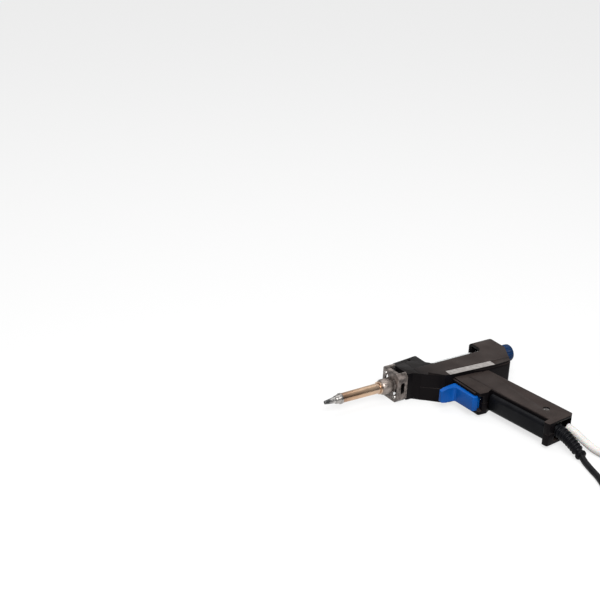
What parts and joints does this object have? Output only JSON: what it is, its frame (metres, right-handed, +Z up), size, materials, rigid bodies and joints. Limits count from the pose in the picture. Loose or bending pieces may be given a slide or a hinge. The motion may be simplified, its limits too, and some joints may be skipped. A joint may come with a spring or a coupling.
{
  "type": "desoldering iron",
  "caption": "Pistol-shaped vacuum desoldering iron lying on its side, with hollow heated nozzle, glass solder filter tube, trigger, release knob, vacuum hose and cable ending in a plug.",
  "frame": {"origin": "middle of the gun's box at the table, without its hose and cable", "axes": "+X from the nozzle towards the release knob along the barrel, +Y towards the gun's top, +Z up from the table, towards the gun's left side"},
  "size_m": [0.2799, 0.3315, 0.0281],
  "materials": {
    "nozzle_metal": "heat-stained iron-plated tip",
    "nickel_plate": "satin nickel",
    "barrel_metal": "straw-coloured from heat",
    "boss_metal": "satin",
    "bracket_metal": "satin grey-brown",
    "heater_ceramic": "unglazed",
    "inner_steel": "drawn",
    "housing_plastic": "fine spark-eroded grain",
    "nose_plastic": "fine grain",
    "strap_rubber": "satin",
    "trigger_plastic": "semi-gloss",
    "knob_plastic": "semi-gloss",
    "label_foil": "satin foil, bare",
    "tube_glass": "clear",
    "seal_rubber": "heat-proof silicone",
    "switch_plastic": "moulded",
    "button_plastic": "moulded",
    "board_laminate": "lacquered",
    "lead_sleeve": "silicone",
    "cable_rubber": "satin",
    "hose_silicone": "translucent",
    "insert_plastic": "moulded"
  },
  "bodies": {
    "gun": {"nozzle": "nozzle_metal", "nozzle_nut": "nickel_plate", "barrel_pipe": "barrel_metal", "heater_core": "heater_ceramic", "suction_tube": "inner_steel", "barrel_boss": "boss_metal", "front_bracket": "bracket_metal", "bracket_screws": "nickel_plate", "nose_block": "nose_plastic", "front_seal": "seal_rubber", "filter_tube": "tube_glass", "pre_filter": "inner_steel", "spring_filter": "inner_steel", "ceramic_filter": "heater_ceramic", "knob_spring": "inner_steel", "housing_left": "housing_plastic", "housing_right": "housing_plastic", "label_strip": "label_foil", "grip_strap": "strap_rubber", "housing_screws": "nickel_plate", "trigger_pin": "nickel_plate", "trigger_spring": "inner_steel", "microswitch": "switch_plastic", "terminal_board": "board_laminate", "heater_leads": "lead_sleeve", "inner_wiring": "cable_rubber", "inner_hose": "hose_silicone", "hose_nipple": "nickel_plate", "strain_relief": "strap_rubber", "power_cable": "cable_rubber", "cable_coil": "cable_rubber", "plug_boot": "strap_rubber", "plug_body": "nickel_plate", "plug_insert": "insert_plastic", "vacuum_hose": "hose_silicone", "hose_coil": "hose_silicone", "hose_fitting": "nickel_plate"},
    "trigger_body": {"trigger": "trigger_plastic"},
    "lever_body": {"switch_lever": "inner_steel"},
    "button_body": {"switch_button": "button_plastic"},
    "knob_body": {"release_knob": "knob_plastic", "seal_carrier": "nickel_plate", "rear_seal": "seal_rubber"},
    "ring_body": {"plug_ring": "nickel_plate"},
    "nut_body": {"fitting_nut": "nickel_plate"}
  },
  "joints": [
    {"name": "trigger_pull", "type": "hinge", "parent": "gun", "child": "trigger_body", "pos_m": [0.01545, 0.02189, 0.014], "axis": [0, 0, 1], "range_deg": [0, 7], "stiffness_Nm_per_rad": 0.6, "springref_deg": -8.59, "deforming": ["trigger_spring"]},
    {"name": "lever_swing", "type": "hinge", "parent": "gun", "child": "lever_body", "pos_m": [0.02095, 0.01429, 0.014], "axis": [0, 0, 1], "range_deg": [0, 10.5]},
    {"name": "button_press", "type": "slide", "parent": "gun", "child": "button_body", "axis": [1, 0, 0], "range_m": [0, 0.0009]},
    {"name": "knob_pull", "type": "slide", "parent": "gun", "child": "knob_body", "axis": [1, 0, 0], "range_m": [0, 0.006], "stiffness_N_per_m": 900, "springref_m": -0.003, "deforming": ["knob_spring"]},
    {"name": "ring_turn", "type": "hinge", "parent": "gun", "child": "ring_body", "pos_m": [0.11025, -0.24601, 0.0073], "axis": [1, 0, 0], "continuous": true},
    {"name": "nut_turn", "type": "hinge", "parent": "gun", "child": "nut_body", "pos_m": [0.16725, -0.19171, 0.00693], "axis": [1, 0, 0], "continuous": true}
  ],
  "couplings": [
    {"joint": "lever_swing", "follows": "trigger_pull", "ratio": 1.5},
    {"joint": "button_press", "follows": "trigger_pull", "m_per_rad": 0.007366}
  ]
}
